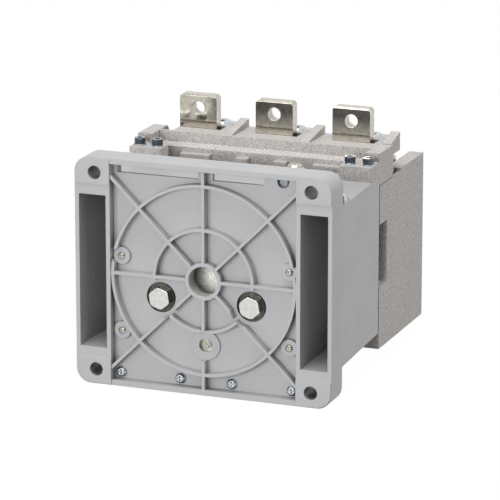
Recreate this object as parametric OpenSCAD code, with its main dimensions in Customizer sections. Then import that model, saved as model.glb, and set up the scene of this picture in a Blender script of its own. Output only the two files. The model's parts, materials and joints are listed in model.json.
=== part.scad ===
// Three-pole vacuum contactor: magnet housing with its ribbed mounting face toward -Y,
// pole assembly with vacuum interrupters toward +Y, line terminals on top, load terminals at the back.
// Origin: centre of the four mounting holes, on the plane of the corner pads. +X right, +Z up.

/* [Mounting flange] */
// Width of the mounting flange
flange_w = 214; // [208:1:224]
// Height of the mounting flange
flange_h = 184; // [180:1:196]
// Depth of the flange frame
flange_t = 25; // [22:1:30]
// Corner radius of the flange
flange_r = 12; // [8:1:14]
// Mounting hole spacing across
hole_dx = 180; // [176:1:184]
// Mounting hole spacing up and down
hole_dz = 160; // [156:1:164]
// Mounting hole diameter
mount_hole_d = 11; // [9:0.5:12]
// Height of the corner pads over the frame face
pad_h = 0.8; // [0.4:0.1:1.5]
// Thickness of the top and bottom rims
rim_t = 4.3; // [3.5:0.1:5]
// Width of the frame at the left and right
frame_w = 29.5; // [28.5:0.5:31]

/* [Ribbed panel] */
// Depth of the panel behind the pads
panel_y = 9; // [8:0.5:10]
// Thickness of the panel
panel_t = 3; // [2:0.25:3]
// Width of the stiffening ribs
rib_w = 2.6; // [2.2:0.1:3.6]
// Height of the ribs over the panel
rib_h = 7.2; // [5:0.2:7.6]
// Radius of the inner ring rib
ring_inner_r = 41; // [39:0.5:43]
// Radius of the outer ring rib
ring_outer_r = 76; // [70:0.5:77]
// Outside diameter of the centre boss
boss_d = 30; // [28:1:34]
// Bore of the centre boss
bore_d = 24; // [18:1:25]

/* [Housing box] */
// Depth from the pads to the back of the box
box_y = 122; // [120:1:122]
// Height of the box above the centre
box_up = 65; // [65:0.5:66]
// Height of the box below the centre
box_down = 64; // [64:0.5:65]
// Draft of each outer side over the depth of the box
draft = 4; // [2:0.5:5]
// Wall thickness of the box
wall = 3; // [2.5:0.25:3.2]
// Width of the side pockets
pocket_w = 22.6; // [21:0.2:23]
// Height of the side pockets
pocket_h = 124; // [118:1:124]
// Depth of the side pockets
pocket_y = 104; // [98:1:104]

/* [Magnet] */
// Distance of each magnet core from the middle
core_x = 37.8; // [37:0.2:38]
// Height of the magnet cores
core_z = -18; // [-19:0.5:-17]
// Diameter of the magnet cores
core_d = 34; // [30:1:36]
// Place of the pole faces
pole_face_y = 111.8; // [111:0.1:111.8]
// Diameter of the pole shoes
shoe_d = 46; // [42:1:50]
// Thickness of the yoke plate
yoke_t = 12; // [10.5:0.5:14]
// Diameter of the coil bobbin flanges
bobbin_d = 70; // [66:1:71]
// Depth of the coil winding over the bobbin tube
winding_t = 13; // [10:0.5:14]

/* [Rocker] */
// Place of the rocker shaft behind the pads
shaft_y = 139; // [138:0.5:140]
// Height of the rocker shaft
shaft_z = -56; // [-57:0.5:-55]
// Diameter of the rocker shaft
shaft_d = 10; // [8:0.5:12]
// Running clearance of the shaft on the radius
shaft_play = 0.05; // [0.02:0.01:0.1]
// Diameter of the rocker hub
hub_d = 22; // [20:0.5:23]
// Thickness of the armature plate
armature_t = 10; // [8:0.5:10]
// Width of each rocker arm
arm_w = 22; // [19:0.5:23]
// Thickness of each rocker arm at its tip
arm_t = 12; // [10:0.5:13]

/* [Poles] */
// Distance between neighbouring poles
pole_pitch = 66; // [65:0.25:66.5]
// Place of the interrupter axes behind the pads
pole_y = 211.5; // [210:0.5:212]
// Travel of the moving contacts
travel = 3; // [2:0.25:3.5]
// Diameter of the interrupter body
bottle_d = 40; // [36:1:40]
// Length of the interrupter body
bottle_h = 70; // [66:1:72]
// Height of the lower end of the interrupter body
bottle_z = -12; // [-13:0.5:-11]
// Diameter of the fixed stem
fixed_stem_d = 14; // [12:0.5:16]
// Diameter of the moving stem
stem_d = 12; // [10:0.5:12.5]
// Running clearance of the moving stem on the radius
stem_play = 0.05; // [0.02:0.01:0.1]

/* [Terminals] */
// Width of the line and load terminals
bar_w = 32; // [28:0.5:34]
// Thickness of the line and load terminals
bar_t = 10; // [8:0.5:10]
// Hole in each terminal
bar_hole_d = 11; // [9:0.5:13]
// Place of the front face of the line terminals
tab_y = 159.3; // [158:0.1:160]
// Height of the top of the line terminals
tab_top = 110; // [106:0.5:114]
// Distance of each terminal hole from the terminal's end
hole_in = 10.7; // [9:0.1:12]
// Length of the load terminals behind the pole housing
load_out = 39; // [36:1:44]

/* [Pole housing] */
// Width of the pole housing
pole_w = 206; // [204:1:208]
// Thickness of the side walls
side_t = 12; // [10:0.5:12]
// Back of the pole housing behind the pads
back_y = 233; // [233:0.5:236]
// Front edge of the side walls
front_y = 124; // [123:0.5:125]
// Bottom of the pole housing
pole_bottom = -77.8; // [-80:0.2:-76]
// Top of the side walls
side_top = 59.8; // [59:0.2:61]
// Thickness of the barriers between the poles
barrier_t = 6; // [4:0.5:8]
// Thickness of the back cover
cover_t = 4; // [3:0.5:5]

/* [Terminal carrier] */
// Height of the carrier floor
carrier_z = 82.4; // [82:0.1:83]
// Thickness of the carrier floor
carrier_t = 8.3; // [7.5:0.1:8.3]
// Back edge of the carrier
carrier_back = 179.3; // [177:0.1:181]
// Front face of the carrier beam
beam_y = 137; // [136:0.1:138]
// Height of the beam's lip and of the clamp bracket tops
lip_z = 83.8; // [83.4:0.1:84.5]
// Width of the carrier fins
fin_w = 7.4; // [6:0.1:8]
// Height of the fins at their back end
fin_z = 88.9; // [86:0.1:91]

/* [Clamp brackets] */
// Width of the bracket foot
foot_w = 27; // [26:0.5:28]
// Front of the bracket foot
foot_y = 102; // [101:0.5:103]
// Height of the foot over the housing box
foot_t = 11.8; // [10:0.2:12.5]
// Back of the bracket riser
riser_back = 157; // [155:0.5:158]

/* [Hidden] */
$fn = 48;

// Gaps between pieces that are assembled together
fit = 0.1;
eps = 0.01;

// Colours
housing_grey = [0.70, 0.71, 0.72];
moulding_grey = [0.62, 0.61, 0.58];
nickel = [0.74, 0.71, 0.64];
zinc = [0.72, 0.76, 0.80];
steel = [0.60, 0.61, 0.62];
copper = [0.75, 0.45, 0.30];
ceramic_white = [0.92, 0.91, 0.88];

// Flange and box
frame_in = flange_w / 2 - frame_w;
window_z = flange_h / 2 - rim_t;
panel_back = panel_y + panel_t;
pocket_in = frame_in + 3.5;
chamber_up = box_up - wall;
chamber_down = box_down - wall;
tower_block_y = pocket_y + wall;

// Fasteners
m10 = 10;
m10_across = 16;
m10_turn = 40;
m10_head_h = 6.4;
m10_washer_d = 21;
m10_washer_t = 2;
m5 = 5;
m5_head_d = 8.5;
m5_head_h = 5;
m5_washer_d = 10;
m5_washer_t = 1;

// Magnet
yoke_y = panel_back + fit;
yoke_back = yoke_y + yoke_t;
yoke_half_w = frame_in - 15.5;
yoke_up = 20;
yoke_down = 42;
yoke_screw_z = -53;
yoke_recess_d = bore_d + 10;
bobbin_t = 2.5;
bobbin_wall = 2;
bobbin_in_d = core_d + 0.6;
bobbin_y = yoke_back + fit;
bobbin_back = pole_face_y - 6 - fit;
winding_d = bobbin_in_d + 2 * (bobbin_wall + winding_t);

// Rocker, drawn in the closed position and swung open about the shaft
armature_y = pole_face_y + 0.2;
armature_half_w = frame_in - 15.5;
armature_up = 24;
armature_down = 44;
lever = pole_y - shaft_y;
open_angle = asin(travel / lever);
arm_top = shaft_z + 10;
arm_tip = pole_y + 13.5;

// Poles
pole_names = [-1, 0, 1];
bottle_top = bottle_z + bottle_h;
cap_h = 6;
leg_z = bottle_top + 6;
leg_top = leg_z + bar_t;
leg_back = pole_y + 14.5;
side_in = pole_w / 2 - side_t;
floor_t = 6;
floor_z = pole_bottom + floor_t;
shelf_z = side_top - 2.5;
shelf_back = 176;
notch_back = 142;
front_wall_y = 146;
front_wall_t = 4;
front_wall_z = -31.5;
link_t = 5;
link_w = 24;
link_top = bottle_z - 13;
load_top = link_top - 7;
load_y = pole_y + 14.5;
link_back = back_y + 13;

// Terminal carrier and brackets
carrier_low = carrier_z - carrier_t;
foot_top = box_up + foot_t;
foot_in = pole_w / 2 - foot_w;
clamp_x = [pole_w / 2 - 20.8, pole_w / 2 - 5.5];
clamp_y = foot_y + 9;

// Shapes drawn in a plane and pulled along Y or X
module along_y(y0, len) {
  translate([0, y0 + len, 0]) rotate([90, 0, 0]) linear_extrude(height = len) children();
}
module along_x(x0, len) {
  translate([x0, 0, 0]) rotate([90, 0, 90]) linear_extrude(height = len) children();
}
module rod_y(x, z, d, y0, len) {
  translate([x, y0 + len, z]) rotate([90, 0, 0]) cylinder(d = d, h = len);
}
module rod_x(y, z, d, x0, len) {
  translate([x0, y, z]) rotate([0, 90, 0]) cylinder(d = d, h = len);
}
module both_sides() {
  children();
  mirror([1, 0, 0]) children();
}
module block(lo, hi) {
  translate(lo) cube(hi - lo);
}
module rounded(w, h, r) {
  square([w - 2 * r, h], center = true);
  square([w, h - 2 * r], center = true);
  for (x = [-1, 1], z = [-1, 1]) translate([x * (w / 2 - r), z * (h / 2 - r)]) circle(r);
}

// Magnet housing
strip_screw_x = [21.7, frame_in - 5.8];
strip_screw_z = 5.4 - window_z;
rivet_x = frame_in - 7.5;
rivet_z = [13.4, -47.5];
gusset_x = [-60, 0, 60];
gusset_t = 4;
slot_x = [[3.3 - frame_in, -6.6], [6, frame_in - 28.9]];
slot_low = window_z - 7.9;
earth_x = frame_in - 13.5;
earth_z = window_z - 3.7;
yoke_hole_d = 11;

module flange_ring() {
  difference() {
    along_y(pad_h, flange_t - pad_h) rounded(flange_w, flange_h, flange_r);
    along_y(0, flange_t + 1) square([2 * frame_in, 2 * window_z], center = true);
  }
  along_y(0, pad_h + eps) intersection() {
    rounded(flange_w - 1, flange_h - 1, flange_r);
    for (x = [-1, 1], z = [-1, 1])
      translate([x * (hole_dx / 2 + 4), z * (hole_dz / 2 + 4)]) square([33, 27], center = true);
  }
  along_y(panel_y, panel_t) square([2 * frame_in + 1, 2 * window_z + 1], center = true);
}

module rib_lines() {
  for (r = [ring_inner_r, ring_outer_r]) difference() {
    circle(r + rib_w / 2, $fn = 96);
    circle(r - rib_w / 2, $fn = 96);
  }
  for (a = [0:45:315]) rotate(a) translate([0, -rib_w / 2]) square([flange_w, rib_w]);
}

module panel_ribs() {
  along_y(panel_y - rib_h, rib_h + eps) difference() {
    intersection() {
      union() {
        rib_lines();
        circle(d = boss_d);
      }
      square([2 * frame_in + 1, 2 * window_z + 1], center = true);
    }
    for (x = [-1, 1]) translate([x * core_x, core_z]) circle(d = 31);
    for (x = [-1, 1], z = rivet_z) translate([x * rivet_x, z]) circle(d = 14);
    translate([0, yoke_screw_z]) circle(d = 24);
    translate([earth_x, earth_z]) circle(d = 13);
  }
  for (x = [-1, 1], z = rivet_z) rod_y(x * rivet_x, z, 14, panel_y - 2.5, 2.5 + eps);
  rod_y(0, yoke_screw_z, 24, panel_y - 1.5, 1.5 + eps);
  rod_y(0, 0, boss_d, panel_y - rib_h, rib_h + panel_t);
}

module tapered_box(x_in, x_out, y0, y1) {
  slope = draft / (box_y - flange_t);
  polygon([[x_in, y0], [x_out, y0], [x_out, min(y1, flange_t)],
    [x_out - slope * (y1 - flange_t), y1], [x_in, y1]]);
}

module housing_box() {
  difference() {
    translate([0, 0, -box_down]) linear_extrude(height = box_up + box_down)
      both_sides() tapered_box(-1, flange_w / 2, panel_y, box_y);
    block([-frame_in, panel_back, -chamber_down], [frame_in, box_y + 1, chamber_up]);
  }
}

module gussets() {
  gusset_low = strip_screw_z + 6.3;
  for (x = gusset_x) along_x(x - gusset_t / 2, gusset_t)
    polygon([[panel_y, -box_down + 1], [60, -box_down + 1], [flange_t, -flange_h / 2 + 1],
      [panel_back + 2.4, -flange_h / 2 + 1], [panel_back + 2.4, gusset_low], [panel_y, gusset_low]]);
}

module side_cuts() {
  both_sides() {
    translate([0, 0, -pocket_h / 2]) linear_extrude(height = pocket_h)
      tapered_box(pocket_in, pocket_in + pocket_w, -1, pocket_y);
    block([pocket_in, tower_block_y, -26], [pocket_in + pocket_w - draft - 1.5, box_y + 1, 36]);
    for (z = [-1, 1]) difference() {
      translate([hole_dx / 2 + 2.3, 0, z * (flange_h / 2 - 14)]) along_y(panel_back, flange_t)
        square([pocket_w, 20], center = true);
      rod_y(hole_dx / 2, z * hole_dz / 2, 20, 0, flange_t);
    }
    for (z = [-1, 1]) rod_y(hole_dx / 2, z * hole_dz / 2, mount_hole_d, -1, flange_t + 2);
    for (x = clamp_x) translate([x, clamp_y, 50]) cylinder(d = m5 + fit, h = 40);
    for (z = [housing_screw_z, bearing_screw_z]) rod_y(bearing_x, z, m5 + fit, tower_block_y - 1, 20);
  }
}

module magnet_housing() {
  color(housing_grey) difference() {
    union() {
      flange_ring();
      panel_ribs();
      housing_box();
      gussets();
    }
    side_cuts();
    for (s = slot_x) block([s[0], panel_y - 1, slot_low], [s[1], panel_back + 1, window_z - 0.2]);
    rod_y(0, 0, bore_d, -1, panel_back + 2);
    rod_y(0, yoke_screw_z, yoke_hole_d, -1, panel_back + 2);
    rod_y(earth_x, earth_z, 10, panel_y - 1, panel_t + 2);
    for (x = [-1, 1]) rod_y(x * core_x, core_z, 24.5, -1, panel_back + 2);
    for (x = [-1, 1], z = rivet_z) rod_y(x * rivet_x, z, 4 + fit, 0, panel_back + 1);
    for (x = [-1, 1], i = [0, 1])
      rod_y(x * strip_screw_x[i], strip_screw_z, 4 + fit, panel_y - 1, panel_t + 2);
  }
}

// Magnet
module yoke_plate() {
  color(zinc) difference() {
    union() {
      along_y(yoke_y, yoke_t) translate([0, (yoke_up - yoke_down) / 2])
        rounded(2 * yoke_half_w, yoke_up + yoke_down, 6);
      along_y(yoke_y, yoke_t) translate([0, -50]) rounded(26, 20, 5);
    }
    rod_y(0, 0, yoke_recess_d, yoke_y - 1, yoke_t - 2);
    for (x = [-1, 1]) rod_y(x * core_x, core_z, m10 + 1, yoke_y - 1, yoke_t + 2);
    rod_y(0, yoke_screw_z, m5 + fit, yoke_y - 1, yoke_t + 2);
  }
}

module magnet_core(side) {
  color(steel) difference() {
    union() {
      rod_y(side * core_x, core_z, core_d, yoke_back, pole_face_y - yoke_back);
      rod_y(side * core_x, core_z, shoe_d, pole_face_y - 6, 6);
    }
    rod_y(side * core_x, core_z, m10 + fit, yoke_back - 1, 26);
  }
}

module coil_bobbin(side) {
  color("ivory") translate([side * core_x, bobbin_back, core_z]) rotate([90, 0, 0]) difference() {
    union() {
      cylinder(d = bobbin_in_d + 2 * bobbin_wall, h = bobbin_back - bobbin_y);
      for (z = [0, bobbin_back - bobbin_y - bobbin_t]) translate([0, 0, z])
        cylinder(d = bobbin_d, h = bobbin_t);
    }
    translate([0, 0, -1]) cylinder(d = bobbin_in_d, h = bobbin_back - bobbin_y + 2);
  }
}

module coil_winding(side) {
  len = bobbin_back - bobbin_y - 2 * bobbin_t - 2 * fit;
  color(copper) translate([side * core_x, bobbin_back - bobbin_t - fit, core_z]) rotate([90, 0, 0])
    difference() {
      cylinder(d = winding_d, h = len);
      translate([0, 0, -1]) cylinder(d = bobbin_in_d + 2 * bobbin_wall + 2 * fit, h = len + 2);
    }
}

module hex_head(across, h) {
  intersection() {
    cylinder(d = across / cos(30), h = h, $fn = 6);
    cylinder(d1 = across * 1.12 - 1.2 + 2 * h, d2 = across * 1.12 - 1.2, h = h);
  }
}

module core_bolts() {
  color(nickel) for (x = [-1, 1]) translate([x * core_x, yoke_y - m10_washer_t, core_z])
    rotate([90, 0, 0]) {
      rotate(m10_turn) hex_head(m10_across, m10_head_h);
      translate([0, 0, -33]) cylinder(d = m10, h = 33 + eps);
    }
}

module core_washers() {
  color(zinc) for (x = [-1, 1]) difference() {
    rod_y(x * core_x, core_z, m10_washer_d, yoke_y - m10_washer_t, m10_washer_t);
    rod_y(x * core_x, core_z, m10 + 0.6, yoke_y - m10_washer_t - 1, m10_washer_t + 2);
  }
}

module coil_bracket(side) {
  x0 = yoke_half_w + 1;
  x1 = frame_in - 0.4;
  low = rivet_z[1] - 8.5;
  high = rivet_z[0] + 8.6;
  color(zinc) mirror([side < 0 ? 1 : 0, 0, 0]) difference() {
    union() {
      block([x0, yoke_y, low], [x1, yoke_y + 2, high]);
      block([x1 - 2, yoke_y, low], [x1, yoke_y + 30, high]);
    }
    for (z = rivet_z) rod_y(rivet_x, z, 4 + fit, yoke_y - 1, 4);
  }
}

module pan_screw(d, head_d, head_h, len) {
  translate([0, 0, -len]) cylinder(d = d, h = len + eps);
  difference() {
    union() {
      cylinder(d = head_d, h = head_h * 0.6);
      translate([0, 0, head_h * 0.6 - eps]) cylinder(d1 = head_d, d2 = head_d * 0.7, h = head_h * 0.4);
    }
    for (a = [0, 90]) rotate(a) translate([-head_d * 0.28, -0.4, head_h * 0.5])
      cube([head_d * 0.56, 0.8, head_h]);
  }
}

module bracket_rivet_screws() {
  color(nickel) for (x = [-1, 1], z = rivet_z) translate([x * rivet_x, panel_y - 2.5, z])
    rotate([90, 0, 0]) pan_screw(4, 5.6, 1.6, 10);
}

module yoke_screw() {
  color(nickel) translate([0, yoke_y, yoke_screw_z]) rotate([90, 0, 0]) difference() {
    union() {
      cylinder(d = 7.4, h = 2);
      translate([0, 0, -10]) cylinder(d = m5, h = 10 + eps);
    }
    rotate(-45) translate([-5, -0.6, 1]) cube([10, 1.2, 2]);
  }
}

module stiffener_strip() {
  color(zinc) difference() {
    along_y(panel_back + fit, 2) translate([0, strip_screw_z]) square([2 * frame_in - 2, 9], center = true);
    for (x = [-1, 1], i = [0, 1]) rod_y(x * strip_screw_x[i], strip_screw_z, 4 + fit, panel_back, 4);
  }
}

module strip_screws() {
  color(zinc) for (x = [-1, 1], i = [0, 1]) translate([x * strip_screw_x[i], panel_y, strip_screw_z])
    rotate([90, 0, 0]) pan_screw(4, 8, 2.6, 9);
}

// Earth terminal at the top edge of the flange
earth_y = flange_t + 8.6;
earth_leg_z = window_z - 2.1;
earth_washer_t = 1.6;

module earth_bracket() {
  color(zinc) difference() {
    union() {
      block([earth_x - 8, panel_back + fit, earth_z - 12], [earth_x + 8, panel_back + 2, earth_leg_z + 2]);
      block([earth_x - 8, panel_back + fit, earth_leg_z], [earth_x + 8, earth_y + 7, earth_leg_z + 2]);
      rod_y(earth_x, earth_z, 6.3, panel_y + 1, panel_t + eps);
    }
    translate([earth_x, earth_y, earth_leg_z - 1]) cylinder(d = 6 + fit, h = 4);
  }
}

module earth_screw() {
  color(nickel) translate([earth_x, earth_y, earth_leg_z + 2]) {
    cylinder(d = 16, h = earth_washer_t);
    translate([0, 0, earth_washer_t]) rotate(45) pan_screw(6, 11.5, 3.5, earth_washer_t);
    translate([0, 0, -14]) cylinder(d = 6, h = 14 + eps);
  }
}

// Coil terminals on top of the box towers, just behind the flange
coil_term_x = flange_w / 2 - 6.6;
coil_term_y = 41;
coil_term_front = 31.5;
coil_term_half = 5;

module coil_terminals() {
  color(nickel) both_sides() difference() {
    union() {
      block([coil_term_x - coil_term_half, coil_term_front, box_up],
        [coil_term_x + coil_term_half, coil_term_y + 6, box_up + 1.2]);
      block([coil_term_x - coil_term_half, coil_term_front, box_up],
        [coil_term_x + coil_term_half, coil_term_front + 1.2, box_up + 6.5]);
    }
    translate([coil_term_x, coil_term_y, box_up - 1]) cylinder(d = 4 + fit, h = 4);
  }
}

module coil_terminal_screws() {
  color(zinc) both_sides() translate([coil_term_x, coil_term_y, box_up + 1.2]) {
    cylinder(d = 8.6, h = 1);
    translate([0, 0, 1]) pan_screw(3.8, 7, 2.8, 1);
    translate([0, 0, -1.2]) cylinder(d = 4, h = 1.3);
  }
}

// Pole housing
bearing_x = side_in - 6.5;
bearing_w = 12.6;
bearing_up_y = 23.5;
bearing_screw_z = -37;
housing_screw_z = 49;
screw_end_y = tower_block_y + 3;
spring_y = 171;
spring_seat_z = -37;
front_sill_z = -64.6;
cover_screw_z = [40, 2, -62];

module wall_profile() {
  polygon([[front_y, pole_bottom], [back_y, pole_bottom], [back_y, side_top], [shelf_back, side_top],
    [shelf_back, shelf_z], [front_y, shelf_z], [front_y, 25.2], [notch_back, 25.2],
    [notch_back, -25.8], [front_y, -25.8]]);
}

module barrier_profile() {
  polygon([[front_wall_y, carrier_low - fit], [front_wall_y, front_wall_z], [196, -34], [196, floor_z - 1],
    [back_y - cover_t - fit, floor_z - 1], [back_y - cover_t - fit, 50], [pole_y - 12, 62],
    [pole_y - 12, carrier_low - fit]]);
}

module pole_housing() {
  color(moulding_grey) difference() {
    union() {
      both_sides() {
        along_x(side_in, side_t) wall_profile();
        along_x(pole_pitch / 2 - barrier_t / 2, barrier_t) barrier_profile();
        block([bearing_x - 6, front_y, housing_screw_z - 7], [side_in + 1, front_y + 8, housing_screw_z + 7]);
        for (z = cover_screw_z) rod_y(pole_pitch / 2, z, 10, back_y - cover_t - 18, 18 - fit);
        translate([pole_pitch / 2, spring_y, spring_seat_z]) cylinder(d = 18, h = 4);
      }
      block([-side_in - 1, front_y, pole_bottom], [side_in + 1, back_y, floor_z]);
      block([-side_in - 1, front_y, pole_bottom], [side_in + 1, front_y + 6, front_sill_z]);
      block([-side_in - 1, front_wall_y, front_wall_z],
        [side_in + 1, front_wall_y + front_wall_t, carrier_low - fit]);
    }
    both_sides() {
      block([side_in - 1, riser_back + 0.5, shelf_z - 8], [pole_w / 2 - 3, shelf_back, side_top + 1]);
      rod_y(bearing_x, housing_screw_z, m5 + 0.5, front_y - 1, 10);
      for (z = cover_screw_z) rod_y(pole_pitch / 2, z, 4 + fit, back_y - cover_t - 14, 20);
      translate([bearing_x, shaft_y, pole_bottom - 1]) cylinder(d = m5 + 0.5, h = floor_t + 2);
      translate([bearing_x, shaft_y, pole_bottom - 1]) cylinder(d = 9.5, h = 4.5);
    }
    both_sides() block([pole_w / 2 - 20, front_wall_y - 1, shelf_z - fit], [side_in + 2, front_wall_y + 8, 90]);
  }
}

module back_cover() {
  y0 = back_y - cover_t;
  color(moulding_grey) difference() {
    union() {
      block([-side_in + fit, y0, floor_z + fit], [side_in - fit, back_y, 50]);
      both_sides() along_x(pole_pitch / 2 - 2, 4)
        polygon([[y0 + 1, -66], [back_y + load_out - 6, -58], [back_y + load_out - 6, -14], [y0 + 1, -6]]);
      both_sides() along_x(side_in - 8, 4)
        polygon([[y0 + 1, -66], [back_y + 6, -62], [back_y + 6, 42], [y0 + 1, 46]]);
    }
    for (p = pole_names) translate([p * pole_pitch, 0, 0]) {
      block([-bar_w / 2 - 0.3, y0 - 1, load_top - bar_t - 0.3], [bar_w / 2 + 0.3, back_y + 1, bottle_z - 4]);
      translate([0, pole_y, bottle_z - 1]) cylinder(d = bottle_d + 0.6, h = bottle_h);
    }
    for (x = [-1, 1], z = cover_screw_z) {
      rod_y(x * pole_pitch / 2, z, 4.4, y0 - 1, 60);
      rod_y(x * pole_pitch / 2, z, 9, back_y - 1, 60);
    }
  }
}

module cover_screws() {
  color(zinc) for (x = [-1, 1], z = cover_screw_z) translate([x * pole_pitch / 2, back_y - 1, z])
    rotate([-90, 0, 0]) pan_screw(4, 8, 2.6, 14);
}

module bearing(side) {
  x0 = bearing_x - bearing_w / 2;
  color([0.25, 0.26, 0.28]) mirror([side < 0 ? 1 : 0, 0, 0]) difference() {
    along_x(x0, bearing_w) difference() {
      union() {
        translate([box_y + fit, floor_z + fit]) square([40, shaft_z + 9 - floor_z]);
        translate([box_y + fit, floor_z + fit]) square([bearing_up_y, bearing_screw_z + 8 - floor_z]);
      }
      translate([shaft_y, shaft_z]) circle(d = shaft_d + 2 * shaft_play);
      translate([box_y - 1, floor_z - 1]) square([front_y + 7.1 - box_y, 1.2 + front_sill_z - floor_z]);
    }
    rod_y(bearing_x, bearing_screw_z, m5 + fit, box_y, 40);
    translate([bearing_x, shaft_y, floor_z]) cylinder(d = m5 + fit, h = 8);
  }
}

module socket_screw(len) {
  translate([0, 0, -len]) cylinder(d = m5, h = len + eps);
  difference() {
    cylinder(d = m5_head_d, h = m5_head_h);
    translate([0, 0, 2.2]) cylinder(d = 4 / cos(30), h = 4, $fn = 6);
  }
}

module bearing_screws() {
  color(zinc) both_sides() translate([bearing_x, shaft_y, pole_bottom + 3.5])
    rotate([180, 0, 0]) pan_screw(m5, 9, 3, 8);
}

module housing_screws() {
  upper_y = front_y + 8;
  lower_y = box_y + fit + bearing_up_y;
  color(zinc) both_sides() {
    translate([bearing_x, upper_y, housing_screw_z]) rotate([-90, 0, 0]) socket_screw(upper_y - screw_end_y);
    translate([bearing_x, lower_y, bearing_screw_z]) rotate([-90, 0, 0]) socket_screw(lower_y - screw_end_y);
  }
}

// Terminal carrier
module carrier_profile() {
  polygon([[beam_y, lip_z], [beam_y + 3, lip_z], [beam_y + 3, carrier_z], [carrier_back, carrier_z],
    [carrier_back, carrier_low], [front_wall_y - 0.5, carrier_low], [front_wall_y - 0.5, 60],
    [beam_y - 4, 60], [beam_y - 4, lip_z - 11.5], [beam_y, lip_z - 8.5]]);
}

module fin_profile(y0) {
  polygon([[y0, carrier_low], [carrier_back, carrier_low], [carrier_back, fin_z], [y0, lip_z]]);
}

// Teeth on the lower front of the beam: ends across, and place and height
tooth_x = [[11, 22], [44, 69.6]];
tooth_y = [126.5, 133.5];
tooth_z = [60, 68.4];

module terminal_carrier() {
  end_fin = pole_w / 2 - 2.3 - fin_w;
  pocket_half = bar_w / 2 + 0.4;
  color(moulding_grey) difference() {
    union() {
      along_x(-side_in + fit, 2 * (side_in - fit)) carrier_profile();
      both_sides() {
        along_x(pole_pitch / 2 - fin_w / 2, fin_w) fin_profile(beam_y + 3);
        for (t = tooth_x) block([t[0], tooth_y[0], tooth_z[0]], [t[1], tooth_y[1], tooth_z[1]]);
      }
      block([side_in - 1, riser_back + fit, carrier_low], [end_fin + 1, carrier_back, carrier_z]);
      along_x(end_fin, fin_w) fin_profile(riser_back + fit);
    }
    for (p = pole_names)
      block([p * pole_pitch - pocket_half, tab_y - 0.4, carrier_low - 1],
        [p * pole_pitch + bar_w / 2 + 3.5, tab_y + bar_t + 3, carrier_z + 1]);
    block([-side_in - 1, front_wall_y - 0.5, carrier_low - 1],
      [-pole_pitch - pocket_half, carrier_back + 1, lip_z]);
  }
}

// Clamp brackets, with a relieved seam along the riser's lower edge
seam = 0.7;

module clamp_bracket(side) {
  color(moulding_grey) mirror([side < 0 ? 1 : 0, 0, 0]) difference() {
    union() {
      block([foot_in, foot_y, box_up], [pole_w / 2, foot_y + 17, foot_top]);
      along_x(side_in, side_t) difference() {
        polygon([[foot_y + 15, box_up], [box_y + 0.5, box_up], [box_y + 0.5, shelf_z],
          [riser_back - 5, shelf_z], [riser_back, shelf_z + 5], [riser_back, lip_z - 3],
          [riser_back - 3, lip_z], [foot_y + 15, lip_z]]);
      }
    }
    block([pole_w / 2 - seam, box_y, shelf_z - 1], [pole_w / 2 + 1, riser_back + 1, shelf_z + seam]);
    translate([clamp_x[1], foot_y + 15.5, foot_top]) cylinder(d = 12.6, h = 20);
    for (x = clamp_x) translate([x, clamp_y, box_up - 1]) cylinder(d = m5 + 0.5, h = 30);
  }
}

module clamp_screws() {
  color(zinc) both_sides() for (x = clamp_x) translate([x, clamp_y, foot_top + m5_washer_t])
    socket_screw(23);
}

module clamp_washers() {
  color(zinc) both_sides() for (x = clamp_x) translate([x, clamp_y, foot_top]) difference() {
    cylinder(d = m5_washer_d, h = m5_washer_t);
    translate([0, 0, -1]) cylinder(d = m5 + 0.5, h = 4);
  }
}

// Line terminals
module line_terminal(p) {
  r = 6;
  color(nickel) translate([p * pole_pitch, 0, 0]) difference() {
    along_x(-bar_w / 2, bar_w) difference() {
      union() {
        translate([tab_y, leg_z + r]) square([bar_t, tab_top - leg_z - r]);
        translate([tab_y + r, leg_z]) square([leg_back - tab_y - r, bar_t]);
        translate([tab_y + r, leg_z + r]) circle(r);
      }
      translate([tab_y - 1, tab_top]) rotate(45) square([2.8, 2.8], center = true);
    }
    rod_y(0, tab_top - hole_in, bar_hole_d, tab_y - 1, bar_t + 2);
    translate([0, pole_y, leg_z - 1]) cylinder(d = 8 + fit, h = bar_t + 2);
    for (x = [-1, 1]) translate([x * bar_w / 2, tab_y - 1, tab_top]) rotate([-90, 0, 0])
      linear_extrude(height = bar_t + 2) rotate(45) square(3, center = true);
  }
}

module terminal_bolts() {
  color(zinc) for (p = pole_names) translate([p * pole_pitch, pole_y, leg_top]) difference() {
    union() {
      cylinder(d = 20.5, h = 1.4);
      translate([0, 0, 1.4 - eps]) cylinder(d1 = 18, d2 = 15, h = 2);
      translate([0, 0, -22]) cylinder(d = 8, h = 22 + eps);
    }
    translate([0, 0, 1]) cylinder(d = 6 / cos(30), h = 4, $fn = 6);
  }
}

// Vacuum interrupters
contact_z = bottle_z + 34;
contact_d = 28;
contact_t = 4;

module interrupter(p) {
  color(ceramic_white) translate([p * pole_pitch, pole_y, bottle_z + cap_h]) rotate_extrude()
    polygon([[bottle_d / 2 - 3.5, 0], [bottle_d / 2 - 0.5, 0], [bottle_d / 2, 0.5], [bottle_d / 2, 18],
      [bottle_d / 2 - 1, 19], [bottle_d / 2 - 1, 21], [bottle_d / 2, 22], [bottle_d / 2, 36],
      [bottle_d / 2 - 1, 37], [bottle_d / 2 - 1, 39], [bottle_d / 2, 40],
      [bottle_d / 2, bottle_h - 2 * cap_h - 0.5], [bottle_d / 2 - 0.5, bottle_h - 2 * cap_h],
      [bottle_d / 2 - 3.5, bottle_h - 2 * cap_h]]);
}

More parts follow.
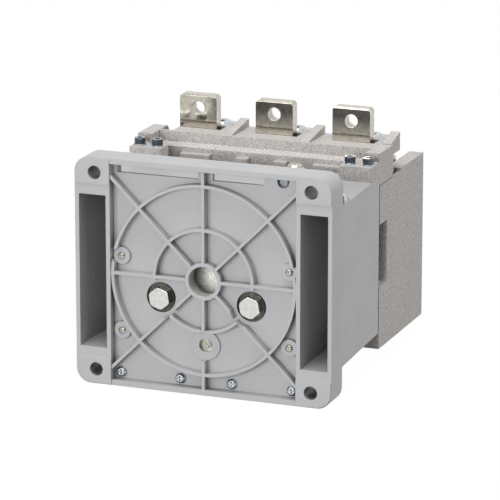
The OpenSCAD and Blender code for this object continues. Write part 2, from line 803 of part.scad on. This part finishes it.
module fixed_end(p) {
  color(nickel) translate([p * pole_pitch, pole_y, 0]) difference() {
    union() {
      translate([0, 0, bottle_top - cap_h]) cylinder(d = bottle_d - 0.5, h = cap_h);
      translate([0, 0, contact_z + contact_t - eps])
        cylinder(d = fixed_stem_d, h = leg_z - contact_z - contact_t + eps);
      translate([0, 0, contact_z]) cylinder(d = contact_d, h = contact_t);
    }
    translate([0, 0, leg_z - 14]) cylinder(d = 8 + fit, h = 20);
  }
}

module guide_end(p) {
  color(nickel) translate([p * pole_pitch, pole_y, 0]) difference() {
    union() {
      translate([0, 0, bottle_z]) cylinder(d = bottle_d - 0.5, h = cap_h);
      translate([0, 0, bottle_z - 5]) cylinder(d = 20, h = 5 + eps);
    }
    translate([0, 0, bottle_z - 6]) cylinder(d = stem_d + 2 * stem_play, h = cap_h + 8);
  }
}

// Moving stem with its shoulder, clamping nut, contact spring and stud, drawn in the open position
nut_h = 5.5;

module moving_stem(p) {
  color(copper) translate([p * pole_pitch, pole_y, -travel]) {
    translate([0, 0, contact_z - contact_t]) cylinder(d = contact_d, h = contact_t);
    translate([0, 0, link_top]) cylinder(d = stem_d, h = contact_z - contact_t - link_top + eps);
    translate([0, 0, link_top]) cylinder(d = 18, h = 3.5);
    translate([0, 0, arm_top - arm_t - 8]) cylinder(d = 8, h = link_top - arm_top + arm_t + 8 + eps);
    translate([0, 0, link_top - link_t - nut_h]) cylinder(d = 14 / cos(30), h = nut_h, $fn = 6);
    spring_coils(arm_top + 0.5, link_top - link_t - nut_h);
    translate([0, 0, arm_top - arm_t - 0.4 - nut_h]) cylinder(d = 13 / cos(30), h = nut_h, $fn = 6);
  }
}

module spring_coils(z0, z1) {
  wire = 2;
  turns = 4;
  step = (z1 - z0 - wire) / (turns - 1);
  for (i = [0:turns - 1]) translate([0, 0, z0 + wire / 2 + i * step]) rotate_extrude()
    translate([8, 0]) circle(d = wire, $fn = 16);
  difference() {
    translate([0, 0, z0 + 0.3]) cylinder(d = 14.6, h = z1 - z0 - 0.3 + eps);
    translate([0, 0, z0 - 1]) cylinder(d = 9, h = z1 - z0 - 1);
  }
}

// Flexible links from the moving stems to the load terminals, a bowed stack of copper strip
module link_side() {
  y1 = pole_y + 10;
  y2 = back_y - 0.5;
  top0 = link_top - travel;
  top1 = load_top + link_t;
  steps = 12;
  bow = 6;
  function line(t) = top0 + (top1 - top0) * t + bow * sin(180 * t) * sin(180 * t);
  pts = [for (i = [0:steps]) [y1 + (y2 - y1) * i / steps, line(i / steps)]];
  back = [for (i = [steps:-1:0]) [y1 + (y2 - y1) * i / steps, line(i / steps) - link_t]];
  polygon(concat([[pole_y - 9, top0]], pts, [[link_back, top1], [link_back, top1 - link_t]], back,
    [[pole_y - 9, top0 - link_t]]));
}

module flexible_link(p) {
  color(copper) translate([p * pole_pitch, 0, 0]) difference() {
    along_x(-link_w / 2, link_w) link_side();
    translate([0, pole_y, link_top - travel - link_t - 1]) cylinder(d = 8.6, h = link_t + 2);
    translate([0, link_back - 7, load_top - 1]) cylinder(d = 6.2, h = link_t + 2);
  }
}

module load_terminal(p) {
  color(nickel) translate([p * pole_pitch, 0, 0]) difference() {
    translate([0, 0, load_top - bar_t]) linear_extrude(height = bar_t) difference() {
      translate([-bar_w / 2, load_y]) square([bar_w, back_y + load_out - load_y]);
      for (x = [-1, 1]) translate([x * bar_w / 2, back_y + load_out]) rotate(45) square(3, center = true);
    }
    translate([0, back_y + load_out - hole_in, load_top - bar_t - 1]) cylinder(d = bar_hole_d, h = bar_t + 2);
    translate([0, link_back - 7, load_top - bar_t - 1]) cylinder(d = 6 + fit, h = bar_t + 2);
  }
}

module link_screws() {
  color(zinc) for (p = pole_names) translate([p * pole_pitch, link_back - 7, load_top + link_t]) {
    cylinder(d = 12, h = 1.2);
    translate([0, 0, 1.2 - eps]) hex_head(10, 4);
    translate([0, 0, -link_t - bar_t + 2]) cylinder(d = 6, h = link_t + bar_t - 2 + eps);
  }
}

// Rocker
armature_screw_x = 14;
armature_screw_z = [-24, 8];

module swung_open() {
  translate([0, shaft_y, shaft_z]) rotate([-open_angle, 0, 0]) translate([0, -shaft_y, -shaft_z])
    children();
}

module rocker() {
  plate_y = armature_y + armature_t;
  hub_half = bearing_x - bearing_w / 2 - 2.2;
  color([0.35, 0.20, 0.16]) swung_open() difference() {
    union() {
      rod_x(shaft_y, shaft_z, hub_d, -hub_half, 2 * hub_half);
      along_x(-56, 112) polygon([[plate_y, shaft_z - 2], [shaft_y, shaft_z - 2], [shaft_y - 2, shaft_z + 16],
        [plate_y + 8, shaft_z + 24], [plate_y + 8, 20], [plate_y, 20]]);
      for (p = pole_names) along_x(p * pole_pitch - arm_w / 2, arm_w)
        polygon([[shaft_y, shaft_z - hub_d / 2 + 1], [pole_y - 20, arm_top - arm_t],
          [arm_tip, arm_top - arm_t], [arm_tip, arm_top], [pole_y - 24, arm_top],
          [shaft_y, shaft_z + hub_d / 2 - 1]]);
      along_x(-pole_pitch, 2 * pole_pitch) translate([165, arm_top - arm_t]) square([12, arm_t - 4]);
    }
    rod_x(shaft_y, shaft_z, shaft_d + fit, -90, 180);
    for (p = pole_names)
      translate([p * pole_pitch, pole_y, arm_top - arm_t - 1]) cylinder(d = 10, h = arm_t + 2);
    for (x = [-1, 1], z = armature_screw_z) rod_y(x * armature_screw_x, z, m5 + fit, plate_y - 1, 10);
  }
}

module rocker_shaft() {
  color(steel) rod_x(shaft_y, shaft_z, shaft_d, -side_in + 1.5, 2 * side_in - 3);
}

module armature() {
  color(steel) swung_open() difference() {
    along_y(armature_y, armature_t) translate([0, (armature_up - armature_down) / 2])
      rounded(2 * armature_half_w, armature_up + armature_down, 5);
    for (x = [-1, 1], z = armature_screw_z)
      rod_y(x * armature_screw_x, z, m5 + fit, armature_y + 2, armature_t);
  }
}

module armature_screws() {
  color(zinc) swung_open() for (x = [-1, 1], z = armature_screw_z)
    translate([x * armature_screw_x, armature_y + armature_t + 8, z]) rotate([-90, 0, 0]) socket_screw(15);
}

// Opening springs between the barriers and the rocker's cross bar
module opening_springs() {
  wire = 1.8;
  z1 = spring_seat_z;
  z0 = arm_top - 4 - travel * (spring_y - shaft_y) / lever + 0.3;
  turns = 5;
  step = (z1 - z0 - wire) / (turns - 1);
  color(steel) for (x = [-1, 1]) translate([x * pole_pitch / 2, spring_y, 0]) {
    for (i = [0:turns - 1]) translate([0, 0, z0 + wire / 2 + i * step]) rotate_extrude()
      translate([6, 0]) circle(d = wire, $fn = 16);
    difference() {
      translate([0, 0, z0 + 0.3]) cylinder(d = 11.4, h = z1 - z0 - 0.6);
      translate([0, 0, z0 - 1]) cylinder(d = 9.6, h = z1 - z0 + 2);
    }
  }
}

magnet_housing();
yoke_plate();
magnet_core(-1);  // magnet_core_left
magnet_core(1);  // magnet_core_right
coil_bobbin(-1);  // coil_bobbin_left
coil_bobbin(1);  // coil_bobbin_right
coil_winding(-1);  // coil_winding_left
coil_winding(1);  // coil_winding_right
core_bolts();
core_washers();
coil_bracket(-1);  // coil_bracket_left
coil_bracket(1);  // coil_bracket_right
bracket_rivet_screws();
yoke_screw();
stiffener_strip();
strip_screws();
earth_bracket();
earth_screw();
coil_terminals();
coil_terminal_screws();
pole_housing();
back_cover();
cover_screws();
bearing(-1);  // bearing_left
bearing(1);  // bearing_right
bearing_screws();
housing_screws();
terminal_carrier();
clamp_bracket(-1);  // clamp_bracket_left
clamp_bracket(1);  // clamp_bracket_right
clamp_screws();
clamp_washers();
line_terminal(-1);  // line_terminal_left
line_terminal(0);  // line_terminal_middle
line_terminal(1);  // line_terminal_right
terminal_bolts();
interrupter(-1);  // interrupter_left
interrupter(0);  // interrupter_middle
interrupter(1);  // interrupter_right
fixed_end(-1);  // fixed_end_left
fixed_end(0);  // fixed_end_middle
fixed_end(1);  // fixed_end_right
guide_end(-1);  // guide_end_left
guide_end(0);  // guide_end_middle
guide_end(1);  // guide_end_right
flexible_link(-1);  // flexible_link_left
flexible_link(0);  // flexible_link_middle
flexible_link(1);  // flexible_link_right
load_terminal(-1);  // load_terminal_left
load_terminal(0);  // load_terminal_middle
load_terminal(1);  // load_terminal_right
link_screws();
opening_springs();
rocker();
rocker_shaft();
armature();
armature_screws();
moving_stem(-1);  // moving_stem_left
moving_stem(0);  // moving_stem_middle
moving_stem(1);  // moving_stem_right
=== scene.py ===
import json
import math

import bmesh
import bpy
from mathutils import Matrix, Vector


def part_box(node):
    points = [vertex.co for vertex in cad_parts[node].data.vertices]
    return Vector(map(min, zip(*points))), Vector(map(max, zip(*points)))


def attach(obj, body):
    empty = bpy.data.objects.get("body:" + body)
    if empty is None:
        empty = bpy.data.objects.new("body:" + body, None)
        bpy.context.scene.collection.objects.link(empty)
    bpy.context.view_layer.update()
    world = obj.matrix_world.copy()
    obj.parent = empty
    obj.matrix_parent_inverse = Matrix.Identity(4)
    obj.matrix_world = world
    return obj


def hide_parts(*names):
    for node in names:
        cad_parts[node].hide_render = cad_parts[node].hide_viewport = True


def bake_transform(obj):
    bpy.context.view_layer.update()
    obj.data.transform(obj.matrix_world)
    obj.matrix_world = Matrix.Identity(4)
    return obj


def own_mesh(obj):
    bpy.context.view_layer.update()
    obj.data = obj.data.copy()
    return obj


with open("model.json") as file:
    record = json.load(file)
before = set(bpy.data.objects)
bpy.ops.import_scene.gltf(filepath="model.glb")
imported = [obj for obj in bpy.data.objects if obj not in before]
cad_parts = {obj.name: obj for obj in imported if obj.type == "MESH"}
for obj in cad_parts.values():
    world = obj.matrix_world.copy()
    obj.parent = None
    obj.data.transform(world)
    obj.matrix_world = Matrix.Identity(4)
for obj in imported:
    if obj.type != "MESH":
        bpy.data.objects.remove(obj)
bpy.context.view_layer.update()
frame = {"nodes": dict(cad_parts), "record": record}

MM = 0.001

# Camera, fitted to the photograph's view of the mounting face
AZIMUTH = math.radians(20.93)
ELEVATION = math.radians(15.25)
TARGET = Vector((0.0400, 0.0, 0.0301))
DISTANCE = 2.848
LENS = 266.2
SENSOR_WIDTH = 36
CLIP_END = 50

# Floor just under the lowest edge of the flange, and the point that the lamps face
FLOOR_Z = -0.0922
FLOOR_HALF = 8
LAMP_TARGET = Vector((0.0, 0.12, 0.0))

# Painted shade in corners and recesses: its reach in metres, the open shares between which it fades, and its
# deepest shade
RECESS_SHADE_REACH = 0.03
RECESS_SHADE_FADE = (0.10, 0.42)
RECESS_SHADE_LEVEL = 0.22

# Sizes repeated from the part's source, in metres
POLE_PITCH = 0.066
POLE_Y = 0.2115
BACK_Y = 0.233
LINK_TOP = -0.025
LINK_END_Y = 0.246
LOAD_TOP = -0.032
LINK_WIDTH = 0.024
LINK_THICK = 0.005
TRAVEL = 0.003
SPRING_Y = 0.171
SPRING_RADIUS = 6 * MM
SPRING_WIRE = 1.8 * MM
YOKE_Y = 21 * MM
BOLT_X = 37.8 * MM
BOLT_Z = -18 * MM
CLAMP_SCREW_X = (-97.5 * MM, -82.2 * MM, 82.2 * MM, 97.5 * MM)
CLAMP_SCREW_Y = 111 * MM
CLAMP_HEAD = 5 * MM


def place_camera():
    """The photograph's viewpoint: a long lens, a little above and to the right."""
    data = bpy.data.cameras.new("camera")
    data.sensor_width = SENSOR_WIDTH
    data.lens = LENS
    data.clip_end = CLIP_END
    camera = bpy.data.objects.new("camera", data)
    bpy.context.scene.collection.objects.link(camera)
    level = math.cos(ELEVATION)
    back = Vector((math.sin(AZIMUTH) * level, -math.cos(AZIMUTH) * level, math.sin(ELEVATION)))
    camera.location = TARGET + back * DISTANCE
    camera.rotation_euler = back.to_track_quat("Z", "Y").to_euler()
    bpy.context.scene.camera = camera


# Node helpers

def new_material(name):
    """A material and its node tree and shader."""
    material = bpy.data.materials.new(name)
    material.use_nodes = True
    tree = material.node_tree
    return material, tree, tree.nodes["Principled BSDF"]


def add(tree, kind, values=None, **settings):
    """One shader node, with its sockets' values and its settings."""
    node = tree.nodes.new("ShaderNode" + kind)
    for key, value in settings.items():
        setattr(node, key, value)
    for key, value in (values or {}).items():
        node.inputs[key].default_value = value
    return node


def place(tree, stretch=(1, 1, 1)):
    """The object's own coordinates in metres, stretched for grain that runs one way."""
    coords = add(tree, "TexCoord")
    mapping = add(tree, "Mapping", {"Scale": stretch})
    tree.links.new(coords.outputs["Object"], mapping.inputs["Vector"])
    return mapping.outputs["Vector"]


def noise(tree, vector, scale, detail=3.0, roughness=0.55):
    """Fractal noise whose cells are about 1 / scale metres wide."""
    node = add(tree, "TexNoise", {"Scale": scale, "Detail": detail, "Roughness": roughness})
    tree.links.new(vector, node.inputs["Vector"])
    return node.outputs["Fac"]


def ramp(tree, factor, stops):
    """Colours spread over a factor: stops are (place, colour)."""
    node = add(tree, "ValToRGB")
    elements = node.color_ramp.elements
    while len(elements) < len(stops):
        elements.new(0.5)
    for element, (where, colour) in zip(elements, stops):
        element.position = where
        element.color = (*colour, 1)
    tree.links.new(factor, node.inputs["Fac"])
    return node.outputs["Color"]


def spread(tree, factor, low, high):
    """Maps noise's usual range onto low to high."""
    node = add(tree, "MapRange", {"From Min": 0.3, "From Max": 0.7, "To Min": low, "To Max": high})
    tree.links.new(factor, node.inputs["Value"])
    return node.outputs["Result"]


def bump(tree, height, depth, normal=None, strength=1.0):
    """A bump of that depth in metres over another normal."""
    node = add(tree, "Bump", {"Strength": strength, "Distance": depth})
    tree.links.new(height, node.inputs["Height"])
    if normal is not None:
        tree.links.new(normal, node.inputs["Normal"])
    return node.outputs["Normal"]


def soft_edges(tree, radius):
    """The small radius that moulded and stamped edges have."""
    return add(tree, "Bevel", {"Radius": radius}, samples=6).outputs["Normal"]


def shaded(tree, colour, factor, fade, shade):
    """A colour that goes from a share of itself to its full value while the factor crosses the fade."""
    kept_share = add(tree, "MapRange", {"From Min": fade[0], "From Max": fade[1], "To Min": shade, "To Max": 1.0})
    tree.links.new(factor, kept_share.inputs["Value"])
    node = add(tree, "VectorMath", operation="SCALE")
    tree.links.new(colour, node.inputs["Vector"])
    tree.links.new(kept_share.outputs["Result"], node.inputs["Scale"])
    return node.outputs["Vector"]


def painted_recess_shade(tree, colour):
    """Painted shade: the colour darkens in tight corners and deep recesses, where little is open around a
    point.
    """
    open_share = add(tree, "AmbientOcclusion", {"Distance": RECESS_SHADE_REACH}, samples=8).outputs["AO"]
    return shaded(tree, colour, open_share, RECESS_SHADE_FADE, RECESS_SHADE_LEVEL)


def finish_shader(tree, shader, colour, roughness, normal, recess_shaded=True):
    """Joins the linked colour, with or without painted shade in corners and recesses, roughness and normal to
    the shader.
    """
    # painted shade in corners and recesses, unless the finish goes without it
    base = painted_recess_shade(tree, colour) if recess_shaded else colour
    for socket, source in (("Base Color", base), ("Roughness", roughness), ("Normal", normal)):
        tree.links.new(source, shader.inputs[socket])


# Materials

def plastic(name, dark, light, grain=2600, grain_depth=0.00002, rough=(0.36, 0.44), edge=0.0006):
    """Moulded plastic: an even colour with slow variation, a fine satin grain and soft edges."""
    material, tree, shader = new_material(name)
    where = place(tree)
    slow = noise(tree, where, 22, 2)
    fine = noise(tree, where, grain, 2)
    colour = ramp(tree, slow, ((0.35, dark), (0.65, light)))
    roughness = spread(tree, noise(tree, where, 60), *rough)
    finish_shader(tree, shader, colour, roughness, bump(tree, fine, grain_depth, soft_edges(tree, edge)))
    return material


def speckled_moulding(name, dark, middle, light, edge=0.0005):
    """Glass-filled moulding compound: fibre speckle of two sizes in a warm grey."""
    material, tree, shader = new_material(name)
    where = place(tree)
    coarse = noise(tree, where, 800, 5, 0.7)
    fibres = noise(tree, place(tree, (1, 1, 0.35)), 1700, 3, 0.6)
    both = add(tree, "Mix", {"Factor": 0.45})
    tree.links.new(coarse, both.inputs["A"])
    tree.links.new(fibres, both.inputs["B"])
    mixed = both.outputs["Result"]
    colour = ramp(tree, mixed, ((0.36, dark), (0.5, middle), (0.64, light)))
    roughness = spread(tree, mixed, 0.62, 0.48)
    finish_shader(tree, shader, colour, roughness, bump(tree, mixed, 0.00006, soft_edges(tree, edge)))
    return material


def plated_metal(name, dark, light, rough, stretch=(1, 1, 1), mottle=120, wave=0.00003, edge=0.0004,
                 coat=0.0, recess_shaded=True):
    """Plated metal: slow mottling, fine brushing and the slight waviness of a plated face."""
    material, tree, shader = new_material(name)
    shader.inputs["Metallic"].default_value = 1.0
    shader.inputs["Coat Weight"].default_value = coat
    where = place(tree)
    slow = noise(tree, where, mottle, 6, 0.7)
    brushed = noise(tree, place(tree, stretch), 1800, 2)
    waves = noise(tree, where, 45, 2)
    colour = ramp(tree, slow, ((0.3, dark), (0.7, light)))
    roughness = spread(tree, brushed, *rough)
    wavy = bump(tree, waves, wave * 8, soft_edges(tree, edge), 0.25)
    finish_shader(tree, shader, colour, roughness, bump(tree, brushed, wave * 0.2, wavy), recess_shaded)
    return material


def ceramic(name):
    """Glazed alumina: nearly white, with a clear glossy coat."""
    material, tree, shader = new_material(name)
    shader.inputs["Coat Weight"].default_value = 0.6
    shader.inputs["Coat Roughness"].default_value = 0.05
    where = place(tree)
    colour = ramp(tree, noise(tree, where, 90), ((0.3, (0.76, 0.74, 0.69)), (0.7, (0.84, 0.82, 0.78))))
    roughness = spread(tree, noise(tree, where, 200), 0.2, 0.3)
    waves = bump(tree, noise(tree, where, 160), 0.00004, soft_edges(tree, 0.0005))
    finish_shader(tree, shader, colour, roughness, waves)
    return material


def taped_winding(name):
    """Varnished tape wound round the coil: bands a few millimetres wide."""
    material, tree, shader = new_material(name)
    shader.inputs["Coat Weight"].default_value = 0.4
    shader.inputs["Coat Roughness"].default_value = 0.2
    bands = add(tree, "TexWave", {"Scale": 40, "Distortion": 1.5}, bands_direction="Y")
    tree.links.new(place(tree), bands.inputs["Vector"])
    turns = bands.outputs["Fac"]
    colour = ramp(tree, turns, ((0.1, (0.13, 0.035, 0.015)), (0.9, (0.24, 0.075, 0.03))))
    roughness = spread(tree, turns, 0.35, 0.5)
    finish_shader(tree, shader, colour, roughness, bump(tree, turns, 0.0003))
    return material


def paint_shade_round_spots(material, spots, radius, shade=0.15):
    """Painted shade: darkens a metal face within a radius of each spot, in the object's own coordinates."""
    tree = material.node_tree
    base = tree.nodes["Principled BSDF"].inputs["Base Color"]
    colour = base.links[0].from_socket
    where = place(tree)
    for spot in spots:
        gap = add(tree, "VectorMath", {1: spot}, operation="DISTANCE")
        tree.links.new(where, gap.inputs[0])
        colour = shaded(tree, colour, gap.outputs["Value"], (radius, 1.1 * radius), shade)
    tree.links.new(colour, base)
    return material


# One finish for each slot of the record
MATERIALS = {
    "housing_plastic": plastic("housing_plastic", (0.432, 0.434, 0.444), (0.452, 0.454, 0.464)),
    "pole_moulding": speckled_moulding("pole_moulding", (0.250, 0.232, 0.220), (0.505, 0.478, 0.460),
                                       (0.770, 0.742, 0.724)),
    "nickel": plated_metal("nickel", (0.36, 0.335, 0.285), (0.64, 0.61, 0.525), (0.08, 0.16),
                           stretch=(1, 1, 0.1), mottle=300),
    "zinc": plated_metal("zinc", (0.34, 0.38, 0.42), (0.66, 0.70, 0.73), (0.16, 0.30), mottle=500),
    "steel": plated_metal("steel", (0.46, 0.46, 0.46), (0.58, 0.58, 0.58), (0.30, 0.45), stretch=(0.1, 1, 1)),
    "copper": plated_metal("copper", (0.70, 0.36, 0.22), (0.80, 0.46, 0.31), (0.28, 0.42)),
    "winding": taped_winding("winding"),
    "ceramic": ceramic("ceramic"),
    "bobbin_plastic": plastic("bobbin_plastic", (0.58, 0.54, 0.44), (0.64, 0.60, 0.50), rough=(0.35, 0.45)),
    "bearing_plastic": plastic("bearing_plastic", (0.022, 0.022, 0.024), (0.032, 0.032, 0.034)),
    "rocker_moulding": speckled_moulding("rocker_moulding", (0.045, 0.020, 0.014), (0.070, 0.030, 0.021),
                                         (0.100, 0.046, 0.033)),
    "spring_steel": plated_metal("spring_steel", (0.36, 0.37, 0.39), (0.50, 0.51, 0.53), (0.25, 0.4)),
}

# Nodes whose finish differs from the rest of their slot, and the painted shade round the two core bolts
OWN_FINISH = {
    "core_bolts": plated_metal("bright_nickel", (0.60, 0.59, 0.57), (0.76, 0.75, 0.73), (0.06, 0.14),
                               mottle=300),
    "yoke_plate": plated_metal("granular_zinc", (0.46, 0.47, 0.40), (0.99, 0.99, 0.94), (0.26, 0.42),
                               mottle=650, recess_shaded=False),
    "clamp_screws": plated_metal("blued_zinc", (0.015, 0.022, 0.030), (0.11, 0.15, 0.19), (0.14, 0.24),
                                 mottle=500, coat=1.0),
    # Painted shade: the core washers are darkened nearly to black for the shade round the core bolt heads
    "core_washers": plated_metal("zinc_with_painted_shade", (0.03, 0.029, 0.026), (0.16, 0.155, 0.14), (0.20, 0.32),
                                 mottle=300),
}
paint_shade_round_spots(OWN_FINISH["yoke_plate"], [(-BOLT_X, YOKE_Y, BOLT_Z), (BOLT_X, YOKE_Y, BOLT_Z)], 16 * MM)


def paint_nodes():
    """Every CAD node takes the material of its slot in the record, or its own finish."""
    for part in frame["record"]["subparts"]:
        slots = frame["nodes"][part["node"]].data.materials
        slots.clear()
        slots.append(OWN_FINISH.get(part["node"], MATERIALS[part["material_slot"]]))


# Detail pieces

def mesh_piece(name, build, body, slot, smooth=False, finish=None):
    """An object from a bmesh that build fills, riding on a body in its slot's material or its own."""
    mesh = bpy.data.meshes.new(name)
    shape = bmesh.new()
    build(shape)
    bmesh.ops.recalc_face_normals(shape, faces=shape.faces)
    shape.to_mesh(mesh)
    shape.free()
    for face in mesh.polygons:
        face.use_smooth = smooth
    mesh.materials.append(finish or MATERIALS[slot])
    piece = bpy.data.objects.new(name, mesh)
    bpy.context.scene.collection.objects.link(piece)
    if body is not None:
        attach(piece, body)
    return piece


def sweep(shape, rings, closed_ends=True):
    """Joins rings of points into a tube, each ring a list of the same length."""
    made = [[shape.verts.new(point) for point in ring] for ring in rings]
    for first, second in zip(made, made[1:]):
        count = len(first)
        for i in range(count):
            shape.faces.new((first[i], first[(i + 1) % count], second[(i + 1) % count], second[i]))
    if closed_ends:
        shape.faces.new(list(reversed(made[0])))
        shape.faces.new(made[-1])


def knurled_band(shape, centre, radius, low, high, teeth=36, depth=0.00018, wall=0.0004):
    """The knurled side of a socket head cap screw: a toothed sleeve round the head."""
    inner = radius - wall
    inside = []
    outside = []
    for i in range(2 * teeth):
        angle = math.pi * i / teeth
        outer = radius + (depth if i % 2 else 0.0)
        inside.append((centre.x + inner * math.cos(angle), centre.y + inner * math.sin(angle)))
        outside.append((centre.x + outer * math.cos(angle), centre.y + outer * math.sin(angle)))
    rings = [[(x, y, low) for x, y in inside], [(x, y, low) for x, y in outside],
             [(x, y, high) for x, y in outside], [(x, y, high) for x, y in inside]]
    sweep(shape, rings, closed_ends=False)


def clamp_screw_knurls(shape):
    """Knurled bands on the four clamp screws, below their bright top edges."""
    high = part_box("clamp_screws")[1]
    base = high.z - CLAMP_HEAD
    radius = 4.22 * MM
    band_low = 0.3 * MM
    band_high = 4.2 * MM
    for x in CLAMP_SCREW_X:
        knurled_band(shape, Vector((x, CLAMP_SCREW_Y)), radius, base + band_low, base + band_high)


def link_line(share, arch=6 * MM):
    """Height of a flexible link's top along its free length, from the stem's end to the terminal's."""
    start = LINK_TOP - TRAVEL
    end = LOAD_TOP + LINK_THICK
    return start + (end - start) * share + arch * math.sin(math.pi * share) ** 2


def link_strips(x, layers=6, steps=18, stagger=0.25 * MM):
    """A flexible link as the stack of thin copper strips that it is, every other one a little narrower."""
    begin = POLE_Y - 9 * MM
    free = POLE_Y + 10 * MM
    fixed = BACK_Y - 0.5 * MM
    line = [(begin, link_line(0)), (POLE_Y, link_line(0))]
    line += [(free + (fixed - free) * i / steps, link_line(i / steps)) for i in range(steps + 1)]
    line.append((LINK_END_Y, link_line(1)))
    pitch = LINK_THICK / layers
    strip = 0.88 * pitch

    def build(shape):
        for layer in range(layers):
            drop = layer * pitch
            half = LINK_WIDTH / 2 - (stagger if layer % 2 else 0.0)
            rings = [[(x - half, y, z - drop), (x + half, y, z - drop), (x + half, y, z - drop - strip),
                      (x - half, y, z - drop - strip)] for y, z in line]
            sweep(shape, rings)
    return build


def add_links():
    """Each link's strips bend between the fixed terminal and the moving stem."""
    for side, x in (("left", -POLE_PITCH), ("middle", 0.0), ("right", POLE_PITCH)):
        strips = mesh_piece("link_strips_" + side, link_strips(x), None, "copper")
        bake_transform(strips)
        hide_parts("flexible_link_" + side)


def helix(shape, centre, radius, wire, low, high, turns, around=24, section=10, flat=0.75):
    """A wound spring whose first and last turns lie flat for that share of a turn."""
    steps = int(turns * around)
    rings = []
    for i in range(steps + 1):
        share = i / steps
        turn = share * turns
        rise = min(max((turn - flat) / (turns - 2 * flat), 0.0), 1.0)
        angle = 2 * math.pi * turn
        z = low + wire / 2 + (high - low - wire) * rise
        out = Vector((math.cos(angle), math.sin(angle), 0))
        middle = Vector((centre[0], centre[1], z)) + out * radius
        rings.append([middle + wire / 2 * (out * math.cos(a) + Vector((0, 0, math.sin(a))))
                      for a in (2 * math.pi * k / section for k in range(section))])
    sweep(shape, rings)


def add_springs():
    """The two opening springs, wound, in place of the plain spring node."""
    low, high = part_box("opening_springs")

    def build(shape):
        for x in (-POLE_PITCH / 2, POLE_PITCH / 2):
            helix(shape, (x, SPRING_Y), SPRING_RADIUS, SPRING_WIRE, low.z, high.z, turns=5)
    springs = mesh_piece("opening_spring_coils", build, "frame", "spring_steel", smooth=True)
    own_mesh(springs)
    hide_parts("opening_springs")


# Studio

def seen_directly(tree):
    """1 for the rays that show the background itself: the camera's, and those in metal and glass."""
    path = add(tree, "LightPath")
    total = path.outputs["Is Camera Ray"]
    for output in ("Is Glossy Ray", "Is Transmission Ray"):
        larger = add(tree, "Math", operation="MAXIMUM")
        tree.links.new(total, larger.inputs[0])
        tree.links.new(path.outputs[output], larger.inputs[1])
        total = larger.outputs["Value"]
    return total


def flat_piece(name, corners, material):
    """A flat face that belongs to the studio and not to the object."""
    mesh = bpy.data.meshes.new(name)
    mesh.from_pydata(corners, [], [tuple(range(len(corners)))])
    mesh.materials.append(material)
    piece = bpy.data.objects.new(name, mesh)
    bpy.context.scene.collection.objects.link(piece)
    return piece


def add_floor():
    """A white floor that shows only a faint shadow."""
    material, tree, shader = new_material("floor_white")
    shader.inputs["Base Color"].default_value = (0.30, 0.30, 0.30, 1)
    shader.inputs["Roughness"].default_value = 0.9
    glow = add(tree, "Emission", {"Color": (1, 1, 1, 1), "Strength": 1.04})
    share = add(tree, "Math", {1: 0.95}, operation="MULTIPLY")
    tree.links.new(seen_directly(tree), share.inputs[0])
    mix = add(tree, "MixShader")
    tree.links.new(share.outputs["Value"], mix.inputs["Fac"])
    tree.links.new(shader.outputs["BSDF"], mix.inputs[1])
    tree.links.new(glow.outputs["Emission"], mix.inputs[2])
    tree.links.new(mix.outputs["Shader"], tree.nodes["Material Output"].inputs["Surface"])
    corners = [(x * FLOOR_HALF, y * FLOOR_HALF, FLOOR_Z) for x, y in ((-1, -1), (1, -1), (1, 1), (-1, 1))]
    flat_piece("floor", corners, material)


def add_cards():
    """Black cards that show only in the metal: one on the floor in front, one upright at each side."""
    material, _, shader = new_material("card_black")
    shader.inputs["Base Color"].default_value = (0.015, 0.015, 0.015, 1)
    shader.inputs["Roughness"].default_value = 1.0
    low = FLOOR_Z + MM
    cards = {
        "card_front": [(-0.28, -0.48, low), (0.7, -0.48, low), (0.7, -2.5, low), (-1.05, -2.5, low)],
        "card_left": [(-1.1, -0.5, low), (-1.1, -0.1, low), (-1.1, -0.1, 1.2), (-1.1, -0.5, 1.2)],
        "card_right": [(0.9, -1.1, low), (1.2, -0.6, low), (1.2, -0.6, 1.2), (0.9, -1.1, 1.2)],
    }
    for name, corners in cards.items():
        card = flat_piece(name, corners, material)
        card.visible_camera = False
        card.visible_diffuse = False
        card.visible_shadow = False
        card.visible_transmission = False


def add_lamp(name, location, size, power):
    """A softbox, width by height, that faces the middle of the object."""
    data = bpy.data.lights.new(name, "AREA")
    data.shape = "RECTANGLE"
    data.size, data.size_y = size
    data.energy = power
    lamp = bpy.data.objects.new(name, data)
    lamp.location = location
    lamp.rotation_euler = (Vector(location) - LAMP_TARGET).to_track_quat("Z", "Y").to_euler()
    bpy.context.scene.collection.objects.link(lamp)


def light_world():
    """White behind the object, in an even grey room that lights it from all sides."""
    world = bpy.data.worlds.new("studio")
    bpy.context.scene.world = world
    world.use_nodes = True
    tree = world.node_tree
    room = tree.nodes["Background"]
    room.inputs["Color"].default_value = (1, 0.992, 0.98, 1)
    room.inputs["Strength"].default_value = 0.30
    white = add(tree, "Background", {"Color": (1, 1, 1, 1), "Strength": 1.0})
    mix = add(tree, "MixShader")
    tree.links.new(seen_directly(tree), mix.inputs["Fac"])
    tree.links.new(room.outputs["Background"], mix.inputs[1])
    tree.links.new(white.outputs["Background"], mix.inputs[2])
    tree.links.new(mix.outputs["Shader"], tree.nodes["World Output"].inputs["Surface"])


def light_scene():
    """A low wide key in front, a lamp above the object and a fill from the right, in a dim even room."""
    add_lamp("key", (-0.20, -1.78, 0.38), (1.3, 0.7), 23.5)
    add_lamp("above", (0.05, -0.18, 1.75), (1.2, 1.0), 23)
    add_lamp("fill_right", (1.95, 0.35, 0.45), (1.2, 1.2), 6.8)
    light_world()


place_camera()
paint_nodes()
mesh_piece("clamp_screw_knurls", clamp_screw_knurls, "frame", "zinc", finish=OWN_FINISH["clamp_screws"])
add_links()
add_springs()
add_floor()
add_cards()
light_scene()
bpy.context.scene.view_settings.view_transform = "Standard"
